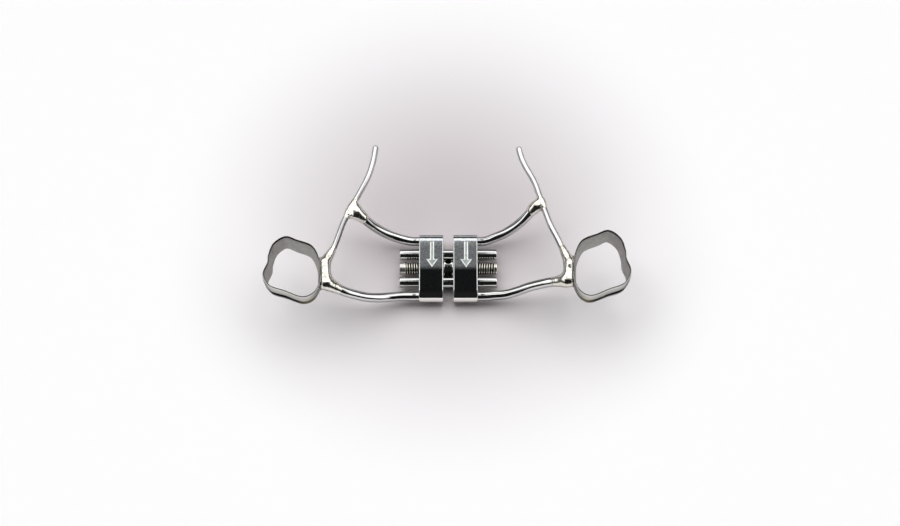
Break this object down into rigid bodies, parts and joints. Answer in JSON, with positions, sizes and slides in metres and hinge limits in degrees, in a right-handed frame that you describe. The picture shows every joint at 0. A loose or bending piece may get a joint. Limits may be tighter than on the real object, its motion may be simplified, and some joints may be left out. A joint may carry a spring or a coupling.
{
  "type": "rapid maxillary expander",
  "caption": "Palatal expansion screw in a split block, with wire arms soldered to lingual bars and thin contoured molar bands.",
  "frame": {"origin": "under the middle of the whole appliance, level with the flat palatal faces of the screw block", "axes": "+X to the right of the picture along the screw's spindle, +Y to the front teeth, +Z towards the tooth tips"},
  "size_m": [0.0594, 0.029, 0.0101],
  "materials": {
    "brushed_stainless_steel": "fine brushed, polished edges",
    "turned_stainless_steel": "bright turned",
    "ground_stainless_steel": "ground and polished",
    "polished_stainless_wire": "electropolished wire",
    "polished_band_steel": "polished thin sheet",
    "silver_solder": "bright, faintly mottled silver solder"
  },
  "bodies": {
    "guides": {"guide_pin_anterior": "ground_stainless_steel", "guide_pin_posterior": "ground_stainless_steel"},
    "spindle": {"spindle": "turned_stainless_steel"},
    "left_half": {"body_left": "brushed_stainless_steel", "arm_anterior_left": "polished_stainless_wire", "arm_posterior_left": "polished_stainless_wire", "bar_left": "polished_stainless_wire", "molar_band_left": "polished_band_steel", "solder_premolar_left": "silver_solder", "solder_molar_left": "silver_solder"},
    "right_half": {"body_right": "brushed_stainless_steel", "arm_anterior_right": "polished_stainless_wire", "arm_posterior_right": "polished_stainless_wire", "bar_right": "polished_stainless_wire", "molar_band_right": "polished_band_steel", "solder_premolar_right": "silver_solder", "solder_molar_right": "silver_solder"}
  },
  "joints": [
    {"name": "spindle_spin", "type": "hinge", "parent": "guides", "child": "spindle", "pos_m": [0.0002, -0.00539, 0.00183], "axis": [1, 0, 0], "range_deg": [0, 4320]},
    {"name": "left_slide", "type": "slide", "parent": "guides", "child": "left_half", "axis": [-1, 0, 0], "range_m": [0, 0.0048]},
    {"name": "right_slide", "type": "slide", "parent": "guides", "child": "right_half", "axis": [1, 0, 0], "range_m": [0, 0.0048]}
  ],
  "couplings": [
    {"joint": "right_slide", "follows": "left_slide", "ratio": 1},
    {"joint": "spindle_spin", "follows": "left_slide", "rad_per_m": 15708}
  ]
}
